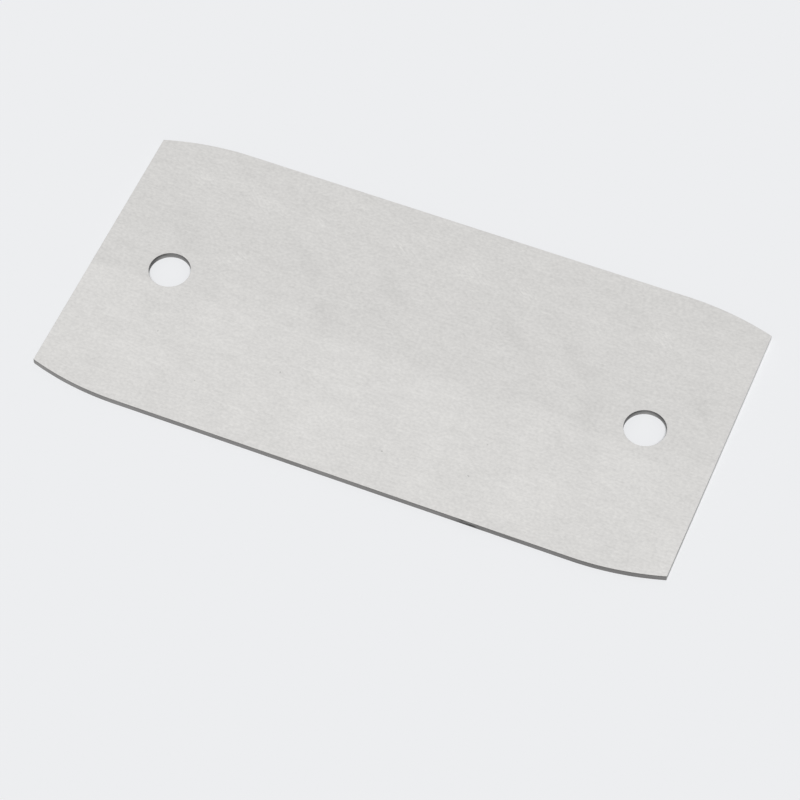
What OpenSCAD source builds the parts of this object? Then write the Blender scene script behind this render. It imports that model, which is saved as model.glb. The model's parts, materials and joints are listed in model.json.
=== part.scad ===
// Rigid card scraper: one flat plate of hard steel. Its two long edges are
// straight and sweep back to the corners at both ends, and a round hole goes
// through it near each end.
// X runs along the plate, Y across it and Z through it. The origin is the
// middle of the underside, so the plate lies on z = 0.

/* [Plate] */
// Length of the plate from end to end
plate_l = 152.4; // [110:0.1:250]
// Width of the plate across its two straight edges
plate_w = 76.2; // [50:0.1:120]
// Thickness of the steel
plate_t = 1.575; // [0.4:0.005:4]

/* [Swept corners] */
// Length along the plate over which an edge sweeps back
sweep_l = 21.2; // [12:0.1:40]
// How far the corner falls back from the straight edge
sweep_drop = 3.3; // [0.5:0.1:10]

/* [Holes] */
// Diameter of the hole near each end
hole_d = 9.75; // [3:0.05:16]
// Distance from the end of the plate to the centre of its hole
hole_inset = 17.8; // [12:0.1:35]

/* [Hidden] */
$fn = 180;
// How far a cut runs past the face that it cuts
cut_over = 1;
// Radius of the arc that leaves the straight edge along its own line and
// has fallen by sweep_drop where the plate ends
sweep_r = (sweep_l * sweep_l + sweep_drop * sweep_drop) / (2 * sweep_drop);
// Where the straight edges end, and where the holes are
sweep_x = plate_l / 2 - sweep_l;
hole_x = plate_l / 2 - hole_inset;

// What one corner loses outside its arc. The arc starts at this shape's
// origin and falls towards +X.
module corner_waste() {
    difference() {
        translate([0, -2 * sweep_drop])
            square([sweep_l + cut_over, 2 * sweep_drop + cut_over]);
        translate([0, -sweep_r])
            circle(r = sweep_r);
    }
}

// The plate seen from above, without its holes
module plate_outline() {
    difference() {
        square([plate_l, plate_w], center = true);
        for (end = [0, 1], edge = [0, 1])
            mirror([end, 0, 0])
                mirror([0, edge, 0])
                    translate([sweep_x, plate_w / 2])
                        corner_waste();
    }
}

// The whole tool: the plate, bored through near both ends
module scraper_plate() {
    color([0.84, 0.835, 0.825])
        difference() {
            linear_extrude(height = plate_t)
                plate_outline();
            for (side = [-1, 1])
                translate([side * hole_x, 0, -cut_over])
                    cylinder(h = plate_t + 2 * cut_over, d = hole_d);
        }
}

scraper_plate();
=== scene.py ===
import json
import math
import bmesh
import bpy
from mathutils import Matrix, Vector


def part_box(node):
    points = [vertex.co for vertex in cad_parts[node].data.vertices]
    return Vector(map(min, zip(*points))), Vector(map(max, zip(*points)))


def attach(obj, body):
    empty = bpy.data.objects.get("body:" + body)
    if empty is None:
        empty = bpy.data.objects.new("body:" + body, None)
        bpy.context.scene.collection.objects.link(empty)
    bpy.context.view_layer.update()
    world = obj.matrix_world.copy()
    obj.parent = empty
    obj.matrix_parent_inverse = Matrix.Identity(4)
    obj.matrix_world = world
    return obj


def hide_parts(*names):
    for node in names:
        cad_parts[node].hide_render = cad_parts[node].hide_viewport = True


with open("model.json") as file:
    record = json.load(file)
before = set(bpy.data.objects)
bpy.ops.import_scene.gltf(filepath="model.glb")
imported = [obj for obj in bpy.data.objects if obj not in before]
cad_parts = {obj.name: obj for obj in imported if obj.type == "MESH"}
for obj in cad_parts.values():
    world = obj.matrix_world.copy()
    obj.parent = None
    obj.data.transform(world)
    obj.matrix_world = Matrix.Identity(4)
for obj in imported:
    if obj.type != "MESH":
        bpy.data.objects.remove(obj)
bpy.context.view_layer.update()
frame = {"nodes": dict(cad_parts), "record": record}
print("frame loaded:", sorted(frame["nodes"]))

mm = 0.001
darkest = 0.2           # share of its colour that every steel keeps
scene = bpy.context.scene


# small helpers for node trees

def connect(tree, value, socket):
    # a socket is linked, anything else is written on the socket itself
    if isinstance(value, bpy.types.NodeSocket):
        tree.links.new(value, socket)
    else:
        socket.default_value = value


def addNode(tree, kind, **sockets):
    node = tree.nodes.new(kind)
    for name, value in sockets.items():
        connect(tree, value, node.inputs[name])
    return node


def addMath(tree, operation, first, second=0.0):
    node = tree.nodes.new("ShaderNodeMath")
    node.operation = operation
    connect(tree, first, node.inputs[0])
    connect(tree, second, node.inputs[1])
    return node.outputs[0]


def addUp(tree, *layers):
    # the sum of (socket, share) pairs
    total = None
    for socket, share in layers:
        scaled = addMath(tree, "MULTIPLY", socket, share)
        total = scaled if total is None else addMath(tree, "ADD", total, scaled)
    return total


def addRamp(tree, value, start, end, low=0.0, high=1.0, soft=True):
    # a climb from low at start to high at end, smooth or straight
    ramp = addNode(tree, "ShaderNodeMapRange", Value=value)
    ramp.interpolation_type = "SMOOTHSTEP" if soft else "LINEAR"
    for name, number in {"From Min": start, "From Max": end, "To Min": low, "To Max": high}.items():
        ramp.inputs[name].default_value = number
    return ramp.outputs[0]


def splitAxes(tree, place):
    return addNode(tree, "ShaderNodeSeparateXYZ", Vector=place).outputs


def joinAxes(tree, **axes):
    return addNode(tree, "ShaderNodeCombineXYZ", **axes).outputs[0]


def stretched(tree, place, sizes, turn=0.0, shift=(0.0, 0.0, 0.0)):
    # coordinates in which one unit is sizes (x, y, z) mm, turned about Z
    mapping = addNode(tree, "ShaderNodeMapping", Vector=place)
    mapping.vector_type = "TEXTURE"
    mapping.inputs["Location"].default_value = [step * mm for step in shift]
    mapping.inputs["Scale"].default_value = [size * mm for size in sizes]
    mapping.inputs["Rotation"].default_value[2] = math.radians(turn)
    return mapping.outputs[0]


def addNoise(tree, place, sizes, detail=2.0, roughness=0.55, turn=0.0):
    # noise whose blobs are about sizes (x, y, z) mm, around zero
    noise = addNode(tree, "ShaderNodeTexNoise", Vector=stretched(tree, place, sizes, turn),
                    Scale=1.0, Detail=detail, Roughness=roughness)
    return addMath(tree, "SUBTRACT", noise.outputs["Fac"], 0.5)


def addPatches(tree, place, spots, fade, square=False):
    # soft patches (x, y, length, width, turn): 1 within the share fade of their size, 0 outside
    flat = 1000.0       # mm, so high that the height of a point hardly counts
    total = None
    for x, y, length, width, turn in spots:
        local = stretched(tree, place, (length / 2, width / 2, flat), turn, (x, y, 0.0))
        if square:
            axes = splitAxes(tree, local)
            away = addMath(tree, "MAXIMUM", addMath(tree, "ABSOLUTE", axes["X"]),
                           addMath(tree, "ABSOLUTE", axes["Y"]))
        else:
            reach = addNode(tree, "ShaderNodeVectorMath", Vector=local)
            reach.operation = "LENGTH"
            away = reach.outputs["Value"]
        patch = addRamp(tree, away, 1.0, fade)
        total = patch if total is None else addMath(tree, "MAXIMUM", total, patch)
    return total


def newMaterial(name):
    material = bpy.data.materials.new(name)
    material.use_nodes = True
    tree = material.node_tree
    shader = tree.nodes["Principled BSDF"]
    place = tree.nodes.new("ShaderNodeTexCoord").outputs["Object"]
    return material, tree, shader, place


def tint(tree, colour, amount):
    # colour times one plus amount, and never below the darkest share of it
    share = addMath(tree, "MAXIMUM", addMath(tree, "ADD", amount, 1.0), darkest)
    scaled = addNode(tree, "ShaderNodeVectorMath", Vector=colour)
    scaled.operation = "SCALE"
    tree.links.new(share, scaled.inputs["Scale"])
    return scaled.outputs[0]


# ground faces of the plate
# sizes and places are in millimetres, turns in degrees, tones are shares of the colour

faceSteel = {
    "colour": (0.677, 0.669, 0.656),
    "roughness": 0.38,
    "lineSize": (3.2, 0.09, 0.5),       # finest grinding lines, along the plate
    "lineDetail": 3.0,
    "lineFalloff": 0.6,
    "lineTone": 0.27,
    "lineRough": 0.20,
    "lineDepth": 0.004,
    "grainSize": (0.80, 0.64, 0.5),     # soft grain between the lines
    "grainFalloff": 0.5,
    "grainTone": 0.30,
    "grainRough": 0.12,
    "grainDepth": 0.006,
    "driftSize": (5.0, 1.9, 1.0),       # faint lengthwise drifts
    "driftTone": 0.11,
    "cloudSize": (15.0, 8.0, 4.0),      # broad patches
    "cloudTone": 0.05,
    "cloudTurn": -35.0,
    "lean": -0.007,                     # from the middle of the plate to its right end
    "passEdge": -4.3,                   # y where one grinding pass meets the next
    "passBlend": 2.6,                   # width of the seam
    "passWander": 2.5,                  # how far the seam strays
    "passAndReflectionTone": -0.032,                 # of the far pass, darker: partly its grinding, partly painted reflection
    # darker slanting strokes of the far pass: x, y, length, width, turn
    "strokes": [(-60, 13, 24, 8, -50), (-29, 13, 22, 8, -48), (-21, 2, 12, 8, -40), (-8, 14, 18, 8, -42),
                (23, 12, 22, 8, -42), (39, 11, 22, 8, -46), (67, 11, 22, 8, -44), (45, -1, 16, 7, -75)],
    "strokeTone": -0.034,
    # lighter rubbed spots of the far pass
    "rubs": [(-63, 28, 12, 7, -20), (-46, 27, 16, 9, -20), (-31, 26, 10, 6, 0), (-11, 26, 12, 7, -20),
             (7, 25, 15, 9, -25), (20, 25, 10, 6, 0), (38, 23, 12, 8, -20), (54, 24, 16, 9, -25),
             (-45, 9, 12, 7, 30)],
    "rubTone": 0.030,
    "softFade": 0.1,                    # strokes and rubbed spots fade from here outwards
    "slantSize": (3.0, 0.34, 0.5),      # slanting scratches inside the rubbed spots
    "slantTurn": -36.0,
    "slantTone": 0.30,
    # lighter bars across the near pass
    "bars": [(-69, -10.5, 18, 14, 0), (-40, -11, 17, 13, 0), (-33, -1, 29, 7, 0), (-11, -9, 14, 16, 0),
             (12, -11, 14, 13, 0), (37, -12, 7, 12, 0), (59, -13, 18, 12, 0), (-55, -29, 15, 18, 0),
             (-27, -30, 9, 14, 0), (-8, -29, 15, 18, -4), (17, -27, 5, 20, 0), (41, -28, 14, 18, -4),
             (72, -30, 10, 16, 0)],
    "barTone": 0.018,
    # darker stops of the near pass, where the wheel lifted
    "stops": [(-54, -11, 10, 12, 0), (27, -8, 12, 8, 0), (49, -7, 5, 9, 0), (60, -6, 16, 3, 0)],
    "stopTone": -0.012,
    "barFade": 0.7,                     # bars and stops are flat up to here
    # tiny pits
    "pits": [(-53.5, -16.9, 0.5, 0.35, 60), (-23.0, -16.9, 0.6, 0.4, 120), (27.6, -17.5, 0.45, 0.3, 30),
             (-39.9, -26.3, 0.45, 0.35, 90), (6.6, -28.1, 0.6, 0.45, 0), (26.8, -26.9, 0.8, 0.4, 150)],
    "pitTone": -0.26,
    "pitFade": 0.6,
    "pitDepth": 0.02,
}


def makeFaceSteel():
    steel = faceSteel
    material, tree, shader, place = newMaterial("groundSteelFace")
    lines = addNoise(tree, place, steel["lineSize"], steel["lineDetail"], steel["lineFalloff"])
    grain = addNoise(tree, place, steel["grainSize"], roughness=steel["grainFalloff"])
    drift = addNoise(tree, place, steel["driftSize"])
    cloud = addNoise(tree, place, steel["cloudSize"], turn=steel["cloudTurn"])
    # the underside wears the same marks turned end for end: side is 1 on top and -1 below
    axes = splitAxes(tree, place)
    over = addRamp(tree, axes["Z"], 0.0, plate["thickness"] * mm)
    side = addMath(tree, "SUBTRACT", addMath(tree, "MULTIPLY", over, 2.0), 1.0)
    turned = joinAxes(tree, X=addMath(tree, "MULTIPLY", axes["X"], side), Y=axes["Y"])
    strays = addMath(tree, "MULTIPLY", cloud, steel["passWander"] * mm)
    # the far pass: a grinding pass, with painted reflection that makes it darker
    farPassAndReflection = addRamp(tree, addMath(tree, "ADD", axes["Y"], strays),
                      (steel["passEdge"] - steel["passBlend"] / 2) * mm,
                      (steel["passEdge"] + steel["passBlend"] / 2) * mm)
    strokes = addPatches(tree, turned, steel["strokes"], steel["softFade"])
    rubs = addPatches(tree, turned, steel["rubs"], steel["softFade"])
    slants = addNoise(tree, place, steel["slantSize"], turn=steel["slantTurn"])
    slants = addMath(tree, "MULTIPLY", slants, rubs)
    bars = addPatches(tree, turned, steel["bars"], steel["barFade"], square=True)
    stops = addPatches(tree, turned, steel["stops"], steel["barFade"], square=True)
    pits = addPatches(tree, turned, steel["pits"], steel["pitFade"])
    leanPerMetre = steel["lean"] / (plate["length"] / 2 * mm)
    shade = addUp(tree, (lines, steel["lineTone"]), (grain, steel["grainTone"]),
                  (drift, steel["driftTone"]), (cloud, steel["cloudTone"]),
                  (farPassAndReflection, steel["passAndReflectionTone"]), (bars, steel["barTone"]), (stops, steel["stopTone"]),
                  (axes["X"], leanPerMetre), (strokes, steel["strokeTone"]), (rubs, steel["rubTone"]),
                  (slants, steel["slantTone"]), (pits, steel["pitTone"]))
    tree.links.new(tint(tree, steel["colour"], shade), shader.inputs["Base Color"])
    rough = addUp(tree, (lines, steel["lineRough"]), (grain, steel["grainRough"]))
    tree.links.new(addMath(tree, "ADD", rough, steel["roughness"]), shader.inputs["Roughness"])
    shader.inputs["Metallic"].default_value = 1.0
    depth = addUp(tree, (lines, steel["lineDepth"]), (grain, steel["grainDepth"]),
                  (pits, -steel["pitDepth"]))
    bump = addNode(tree, "ShaderNodeBump", Height=depth, Distance=mm)
    tree.links.new(bump.outputs[0], shader.inputs["Normal"])
    return material


# walls of the plate: the two scraping edges, the two ends, the two bores

scrapingEdge = {
    "name": "filedSteelEdgePaintedShade",
    # far darker than the faces' steel: partly the filed finish, partly painted shade
    "colour": (0.262, 0.255, 0.249),
    "roughness": 0.45,
    "lineSize": (6.0, 6.0, 0.22),       # lines along the edge
    "lineTone": 0.6,
    "lineDepth": 0.010,
    "patchSize": (9.0, 9.0, 3.0),
    "patchTone": 0.35,
    "lean": (-0.12, 0.0, -0.04),        # from the middle towards +X, +Y and the top
    "rimTone": -0.30,                   # along its top and bottom arris
    # darker stains of the near edge: x, height, length, width, turn (the first hangs from the top)
    "stains": [(29.9, 2.05, 2.6, 3.0, 0.0), (31.4, 0.35, 8.6, 1.6, 0.0)],
    "stainTone": -0.70,
    "stainFade": 0.1,
    "stainEdge": (1.3, 1.3, 0.35),      # blobs by which their outline wanders
    "stainDetail": 3.0,
    "stainWander": 1.6,                 # and how far
}

endEdge = {
    "name": "shearedSteelEndPaintedShade",
    # darker than the faces' steel and lighter than the scraping edges: partly the sheared finish, partly
    # painted shade
    "colour": (0.502, 0.498, 0.492),
    "roughness": 0.45,
    "lineSize": (4.0, 4.0, 0.25),
    "lineTone": 0.4,
    "lineDepth": 0.008,
    "patchSize": (9.0, 9.0, 3.0),
    "patchTone": 0.25,
    # painted light: the end is lighter towards its bottom and towards +Y
    "lean": (0.0, 0.26, -0.38),
    "rimTone": -0.12,
}

boreWall = {
    "name": "drilledSteelBorePaintedShade",
    # far darker than the faces' steel: partly the drilled finish, partly painted shade
    "colour": (0.262, 0.257, 0.252),
    "roughness": 0.42,
    "lineSize": (2.5, 2.5, 0.30),       # lines round the bore
    "lineTone": 1.1,
    "lineDepth": 0.012,
    "patchSize": (4.0, 4.0, 3.0),
    "patchTone": 0.4,
    # painted shade: the bore is darker at its top and lighter downwards
    "lean": (0.0, 0.0, -0.42),
    "rimTone": -0.15,
    "paintedSideShade": -0.80,                  # painted shade on two opposite sides of a bore
    "paintedShadeTurn": 18.0,                   # which way the painted shade lies, from +X towards +Y
}


def makeWallSteel(wall, marks=None):
    material, tree, shader, place = newMaterial(wall["name"])
    lines = addNoise(tree, place, wall["lineSize"])
    patches = addNoise(tree, place, wall["patchSize"])
    # along runs from -1 to 1 on each axis of the plate
    half = (plate["length"] / 2, plate["width"] / 2, plate["thickness"] / 2)
    along = splitAxes(tree, stretched(tree, place, half, shift=(0.0, 0.0, plate["thickness"] / 2)))
    rise = addMath(tree, "MULTIPLY", along["Z"], along["Z"])
    layers = [(lines, wall["lineTone"]), (patches, wall["patchTone"]),
              (addMath(tree, "MULTIPLY", rise, rise), wall["rimTone"])]
    layers += [(along[axis], share) for axis, share in enumerate(wall["lean"]) if share]
    # marks are real stains on the scraping edge and painted shade on the bores
    if marks:
        layers.append(marks(tree, place, wall))
    tree.links.new(tint(tree, wall["colour"], addUp(tree, *layers)), shader.inputs["Base Color"])
    shader.inputs["Metallic"].default_value = 1.0
    shader.inputs["Roughness"].default_value = wall["roughness"]
    bump = addNode(tree, "ShaderNodeBump", Height=lines, Distance=wall["lineDepth"] * mm)
    tree.links.new(bump.outputs[0], shader.inputs["Normal"])
    return material


def stainMarks(tree, place, wall):
    # stains laid on the upright wall, so x and height stand for x and y, on the near side only
    axes = splitAxes(tree, place)
    strays = addNoise(tree, place, wall["stainEdge"], wall["stainDetail"])
    strays = addMath(tree, "MULTIPLY", strays, wall["stainWander"] * mm)
    upright = joinAxes(tree, X=addMath(tree, "ADD", axes["X"], strays),
                       Y=addMath(tree, "ADD", axes["Z"], strays))
    stains = addPatches(tree, upright, wall["stains"], wall["stainFade"])
    near = addRamp(tree, axes["Y"], 0.0, -plate["width"] / 2 * mm)
    return addMath(tree, "MULTIPLY", stains, near), wall["stainTone"]


def borePaintedShade(tree, place, wall):
    # painted shade: both bores are darker on the same two sides
    axes = splitAxes(tree, place)
    centre = addMath(tree, "MULTIPLY", addMath(tree, "SIGN", axes["X"]), plate["holeX"] * mm)
    local = joinAxes(tree, X=addMath(tree, "SUBTRACT", axes["X"], centre), Y=axes["Y"])
    radius = plate["holeRadius"]
    side = splitAxes(tree, stretched(tree, local, (radius, radius, radius), wall["paintedShadeTurn"]))["X"]
    return addMath(tree, "MULTIPLY", side, side), wall["paintedSideShade"]


# the plate, in millimetres until the mesh is made

plateLow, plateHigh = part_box("scraper_plate")
holes = [mount for mount in frame["record"]["mounts"] if mount["kind"] == "bore"]

plate = {
    "length": (plateHigh.x - plateLow.x) / mm,
    "width": (plateHigh.y - plateLow.y) / mm,
    "thickness": (plateHigh.z - plateLow.z) / mm,
    "sweepLength": 21.2,        # along the plate, at each end of an edge
    "sweepDrop": 3.3,           # of the corner behind the straight edge
    "holeRadius": holes[0]["dims"]["r_mm"],
    "holeX": max(hole["pos_m"][0] for hole in holes) / mm,
    "blockHalf": 9.0,           # half of the square of mesh that holds one hole
    "blockSteps": 20,           # faces along one side of that square
    "ringSteps": 5,             # rings of faces between square and hole
    "ringCrowd": 1.4,           # above 1 they crowd round the hole
    "endSteps": 10,             # faces between that square and the end of the plate
    "middleSteps": 24,          # between the two squares
    "rowSteps": 12,             # between a square and the near or far edge
    "arris": 0.035,             # rounding of every edge
    "arrisSteps": 3,
    "arrisAngle": 40.0,         # degrees, and only edges that turn more are rounded
    "digits": 5,                # to which two points count as one
}

faceSlot, edgeSlot, endSlot, boreSlot = range(4)


def halfWidth(x):
    # y of the long edge: straight, then one arc down to the corner
    half = plate["width"] / 2
    past = abs(x) - (plate["length"] / 2 - plate["sweepLength"])
    if past <= 0:
        return half
    radius = (plate["sweepLength"] ** 2 + plate["sweepDrop"] ** 2) / (2 * plate["sweepDrop"])
    return half - radius + math.sqrt(radius ** 2 - past ** 2)


def spread(start, end, steps):
    return [start + (end - start) * step / steps for step in range(steps + 1)]


def stations():
    # x of every column of the face, from the left end to the right one
    half, centre, block = plate["length"] / 2, plate["holeX"], plate["blockHalf"]
    marks = [-half, -centre - block, -centre + block, centre - block, centre + block, half]
    counts = [plate["endSteps"], plate["blockSteps"], plate["middleSteps"],
              plate["blockSteps"], plate["endSteps"]]
    columns = [marks[0]]
    for start, end, count in zip(marks, marks[1:], counts):
        columns += spread(start, end, count)[1:]
    return columns


def rows(x):
    # y of every row at one column, from the near edge to the far one
    block, edge = plate["blockHalf"], halfWidth(x)
    return (spread(-edge, -block, plate["rowSteps"])[:-1]
            + spread(-block, block, plate["blockSteps"])
            + spread(block, edge, plate["rowSteps"])[1:])


def pointKey(x, y, z):
    return tuple(round(part, plate["digits"]) for part in (x, y, z))


def buildFace(bm, z, points):
    # one side of the plate as quads, with rings of them round each hole
    def vertex(x, y):
        key = pointKey(x, y, z)
        if key not in points:
            points[key] = bm.verts.new((x * mm, y * mm, z * mm))
        return points[key]

    def quad(*corners):
        face = bm.faces.new(corners if z > 0 else corners[::-1])
        face.material_index = faceSlot

    block, centre = plate["blockHalf"], plate["holeX"]
    columns = stations()
    for left, right in zip(columns, columns[1:]):
        leftRows, rightRows = rows(left), rows(right)
        for low in range(len(leftRows) - 1):
            middleX = (left + right) / 2
            middleY = (leftRows[low] + leftRows[low + 1]) / 2
            if abs(abs(middleX) - centre) < block and abs(middleY) < block:
                continue
            quad(vertex(left, leftRows[low]), vertex(right, rightRows[low]),
                 vertex(right, rightRows[low + 1]), vertex(left, leftRows[low + 1]))
    side = spread(-block, block, plate["blockSteps"])
    square = ([(x, -block) for x in side[:-1]] + [(block, y) for y in side[:-1]]
              + [(x, block) for x in side[:0:-1]] + [(-block, y) for y in side[:0:-1]])
    loops = {}
    for sign in (-1, 1):
        rings = []
        for ring in range(plate["ringSteps"] + 1):
            share = (ring / plate["ringSteps"]) ** plate["ringCrowd"]
            loop = []
            for x, y in square:
                angle = math.atan2(y, x)
                roundX = plate["holeRadius"] * math.cos(angle)
                roundY = plate["holeRadius"] * math.sin(angle)
                loop.append(vertex(sign * centre + roundX + (x - roundX) * share,
                                   roundY + (y - roundY) * share))
            rings.append(loop)
        for inner, outer in zip(rings, rings[1:]):
            for place in range(len(square)):
                after = (place + 1) % len(square)
                quad(inner[place], outer[place], outer[after], inner[after])
        loops[sign] = rings[0]
    return loops


def buildPlate():
    bm = bmesh.new()
    points = {}
    thickness = plate["thickness"]
    top = buildFace(bm, thickness, points)
    bottom = buildFace(bm, 0.0, points)
    # outer wall, round the open edges of the two faces
    columns = stations()
    outline = [(x, -halfWidth(x)) for x in columns]
    outline += [(columns[-1], y) for y in rows(columns[-1])[1:-1]]
    outline += [(x, halfWidth(x)) for x in reversed(columns)]
    outline += [(columns[0], y) for y in reversed(rows(columns[0])[1:-1])]
    for start, end in zip(outline, outline[1:] + outline[:1]):
        wall = bm.faces.new([points[pointKey(*start, 0.0)], points[pointKey(*end, 0.0)],
                             points[pointKey(*end, thickness)], points[pointKey(*start, thickness)]])
        wall.material_index = endSlot if start[0] == end[0] else edgeSlot
    # walls of the two bores
    for sign in (-1, 1):
        upper, lower = top[sign], bottom[sign]
        for place in range(len(upper)):
            after = (place + 1) % len(upper)
            wall = bm.faces.new([upper[place], upper[after], lower[after], lower[place]])
            wall.material_index = boreSlot
    for face in bm.faces:
        face.smooth = True
    mesh = bpy.data.meshes.new("scraperPlate")
    bm.to_mesh(mesh)
    bm.free()
    piece = bpy.data.objects.new("scraperPlate", mesh)
    scene.collection.objects.link(piece)
    # in the order of the slots
    mesh.materials.append(makeFaceSteel())
    mesh.materials.append(makeWallSteel(scrapingEdge, stainMarks))
    mesh.materials.append(makeWallSteel(endEdge))
    mesh.materials.append(makeWallSteel(boreWall, borePaintedShade))
    bevel = piece.modifiers.new("arris", "BEVEL")
    bevel.width = plate["arris"] * mm
    bevel.segments = plate["arrisSteps"]
    bevel.limit_method = "ANGLE"
    bevel.angle_limit = math.radians(plate["arrisAngle"])
    bevel.harden_normals = True
    return piece


scraperPlate = buildPlate()
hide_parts("scraper_plate")
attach(scraperPlate, "root")
print("plate built:", len(scraperPlate.data.polygons), "faces")


# studio: a pale floor, a broad soft lamp and a pale sky

studio = {
    "floorColour": (0.847, 0.855, 0.871),
    "floorSize": 6.0,           # metres
    "floorGap": 0.02,           # mm below the plate
    "lampStrength": 2.98,
    "lampWidth": 25.0,          # degrees that the lamp fills, seen from the plate
    "lampLean": 25.0,           # degrees from overhead
    "lampSide": -62.0,          # which way it leans, from +X towards +Y
    "fillLow": 0.12,            # what lights the matt floor, at the horizon and overhead
    "fillHigh": 0.15,
    "mirrorLow": 0.93,          # what the metal mirrors, at the horizon and overhead
    "mirrorHigh": 1.105,
    "mirrorStart": 0.58,        # heights between which it brightens
    "mirrorEnd": 0.98,
    "mirrorThrown": 0.22,       # share of it that the metal throws on the floor
}


def makeFloorPaper():
    material, _, shader, _ = newMaterial("paleFloor")
    shader.inputs["Base Color"].default_value = (*studio["floorColour"], 1.0)
    shader.inputs["Roughness"].default_value = 1.0
    shader.inputs["Specular IOR Level"].default_value = 0.0
    return material


def buildFloor():
    half = studio["floorSize"] / 2
    level = -studio["floorGap"] * mm
    mesh = bpy.data.meshes.new("floor")
    corners = [(-half, -half, level), (half, -half, level), (half, half, level), (-half, half, level)]
    mesh.from_pydata(corners, [], [(0, 1, 2, 3)])
    mesh.materials.append(makeFloorPaper())
    floor = bpy.data.objects.new("floor", mesh)
    scene.collection.objects.link(floor)


def buildSky():
    # the camera sees the floor's own colour, metal a pale studio, the floor a soft fill
    world = bpy.data.worlds.new("studioSky")
    world.use_nodes = True
    world.cycles.sampling_method = "NONE"       # soft enough to be found by chance
    scene.world = world
    tree = world.node_tree
    tree.nodes.clear()
    height = splitAxes(tree, tree.nodes.new("ShaderNodeTexCoord").outputs["Generated"])["Z"]
    rays = tree.nodes.new("ShaderNodeLightPath").outputs
    fill = addRamp(tree, height, 0.0, 1.0, studio["fillLow"], studio["fillHigh"], soft=False)
    mirror = addRamp(tree, height, studio["mirrorStart"], studio["mirrorEnd"],
                     studio["mirrorLow"], studio["mirrorHigh"])
    mirrored = addMath(tree, "MAXIMUM", rays["Is Glossy Ray"], rays["Is Transmission Ray"])
    # a ray that has left the floor has a diffuse depth of 1 or more
    direct = addMath(tree, "LESS_THAN", rays["Diffuse Depth"], 0.5)
    direct = addMath(tree, "MAXIMUM", direct, studio["mirrorThrown"])
    mirrored = addMath(tree, "MULTIPLY", mirrored, direct)
    strength = addNode(tree, "ShaderNodeMix", Factor=mirrored, A=fill, B=mirror).outputs[0]
    light = addNode(tree, "ShaderNodeBackground", Color=(1.0, 1.0, 1.0, 1.0), Strength=strength)
    seen = addNode(tree, "ShaderNodeBackground", Color=(*studio["floorColour"], 1.0), Strength=1.0)
    mix = tree.nodes.new("ShaderNodeMixShader")
    tree.links.new(rays["Is Camera Ray"], mix.inputs[0])
    tree.links.new(light.outputs[0], mix.inputs[1])
    tree.links.new(seen.outputs[0], mix.inputs[2])
    output = tree.nodes.new("ShaderNodeOutputWorld")
    tree.links.new(mix.outputs[0], output.inputs[0])


def buildLamp():
    lamp = bpy.data.lights.new("softLamp", "SUN")
    lamp.energy = studio["lampStrength"]
    lamp.angle = math.radians(studio["lampWidth"])
    holder = bpy.data.objects.new("softLamp", lamp)
    scene.collection.objects.link(holder)
    side = math.radians(studio["lampSide"])
    lean = math.radians(studio["lampLean"])
    towards = Vector((math.cos(side) * math.sin(lean), math.sin(side) * math.sin(lean), math.cos(lean)))
    holder.rotation_euler = towards.to_track_quat("Z", "Y").to_euler()
    holder.visible_glossy = False       # metal mirrors the sky alone


buildFloor()
buildSky()
buildLamp()
print("studio built")


# camera at the photograph's viewing angle

view = {
    "azimuth": 23.340,          # degrees
    "elevation": 54.792,
    "roll": -0.807,
    "distance": 733.386,        # mm
    "aim": (4.522, -12.688),    # mm, on the floor
    "focal": 3262.438,          # in pixels of the frame
    "frame": 800,
    "sensor": 36.0,             # mm
    "nearest": 10.0,            # mm, where its view starts
}


def buildCamera():
    around = math.radians(view["azimuth"])
    up = math.radians(view["elevation"])
    roll = math.radians(view["roll"])
    back = Vector((math.sin(around) * math.cos(up), -math.cos(around) * math.cos(up), math.sin(up)))
    level = Vector((math.cos(around), math.sin(around), 0.0))
    upright = back.cross(level)
    right = level * math.cos(roll) + upright * math.sin(roll)
    over = upright * math.cos(roll) - level * math.sin(roll)
    lens = bpy.data.cameras.new("camera")
    lens.sensor_width = view["sensor"]
    lens.lens = view["focal"] / view["frame"] * view["sensor"]
    lens.clip_start = view["nearest"] * mm
    camera = bpy.data.objects.new("camera", lens)
    scene.collection.objects.link(camera)
    turn = Matrix((right, over, back)).transposed().to_4x4()
    aim = Vector((*view["aim"], 0.0))
    camera.matrix_world = Matrix.Translation((aim + back * view["distance"]) * mm) @ turn
    scene.camera = camera


buildCamera()
scene.view_settings.view_transform = "Standard"
print("camera placed")
